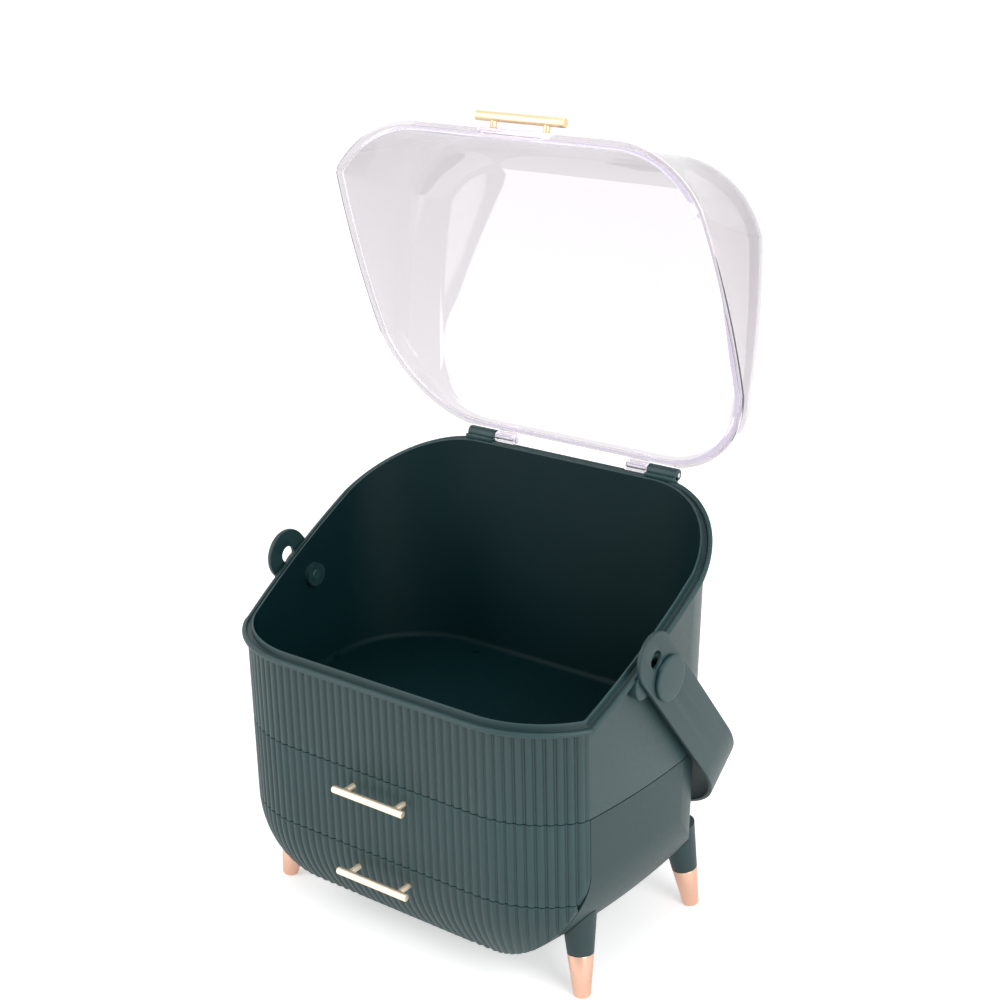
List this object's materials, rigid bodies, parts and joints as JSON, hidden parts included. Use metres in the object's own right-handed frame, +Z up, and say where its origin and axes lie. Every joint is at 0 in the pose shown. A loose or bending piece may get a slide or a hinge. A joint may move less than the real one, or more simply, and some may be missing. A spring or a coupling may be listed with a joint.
{
  "type": "makeup organizer box",
  "caption": "Desk-top makeup organizer with open upper bin, clear hinged dust lid, ribbed drawers below, splayed legs and a swinging strap handle.",
  "frame": {"origin": "middle of the bounding box at floor level, with the lid open and the handle lowered behind", "axes": "+Z up, -Y towards the drawer fronts, +X to the right of a person facing the drawers from the front seen along +Y"},
  "size_m": [0.3018, 0.2484, 0.5102],
  "materials": {
    "green_shell": "satin moulded plastic, dark green",
    "green_inner": "moulded plastic, dark green",
    "clear_lid": "clear moulded plastic, polished",
    "gold_bars": "polished pale gold plating",
    "rose_tips": "satin rose gold plating",
    "steel": "plain zinc-plated steel"
  },
  "bodies": {
    "body": {"bin": "green_shell", "casing": "green_inner", "drawer_shelf": "green_inner", "bin_screws": "steel", "hinge_pin_left": "steel", "hinge_pin_right": "steel", "handle_stud_left": "green_shell", "handle_stud_right": "green_shell", "stud_nut_left": "green_inner", "stud_nut_right": "green_inner", "spacer_left": "green_shell", "spacer_right": "green_shell", "leg_front_left": "green_inner", "leg_front_right": "green_inner", "leg_rear_left": "green_inner", "leg_rear_right": "green_inner", "leg_tip_front_left": "rose_tips", "leg_tip_front_right": "rose_tips", "leg_tip_rear_left": "rose_tips", "leg_tip_rear_right": "rose_tips", "leg_screws": "steel"},
    "lid": {"lid_shell": "clear_lid", "lid_bar": "gold_bars", "lid_bar_posts": "gold_bars"},
    "handle": {"carry_handle": "green_shell"},
    "upper_drawer": {"upper_drawer_tray": "green_inner", "upper_drawer_front": "green_shell", "upper_drawer_bar": "gold_bars", "upper_bar_posts": "gold_bars", "upper_bar_screws": "steel"},
    "lower_drawer": {"lower_drawer_tray": "green_inner", "lower_drawer_front": "green_shell", "lower_drawer_bar": "gold_bars", "lower_bar_posts": "gold_bars", "lower_bar_screws": "steel"}
  },
  "joints": [
    {"name": "lid_hinge", "type": "hinge", "parent": "body", "child": "lid", "pos_m": [0, 0.09568, 0.28125], "axis": [1, 0, 0], "range_deg": [0, 98]},
    {"name": "handle_pivot", "type": "hinge", "parent": "body", "child": "handle", "pos_m": [0, -0.01612, 0.2007], "axis": [1, 0, 0], "range_deg": [0, 80]},
    {"name": "upper_drawer_slide", "type": "slide", "parent": "body", "child": "upper_drawer", "axis": [0, -1, 0], "range_m": [0, 0.125]},
    {"name": "lower_drawer_slide", "type": "slide", "parent": "body", "child": "lower_drawer", "axis": [0, -1, 0], "range_m": [0, 0.125]}
  ]
}
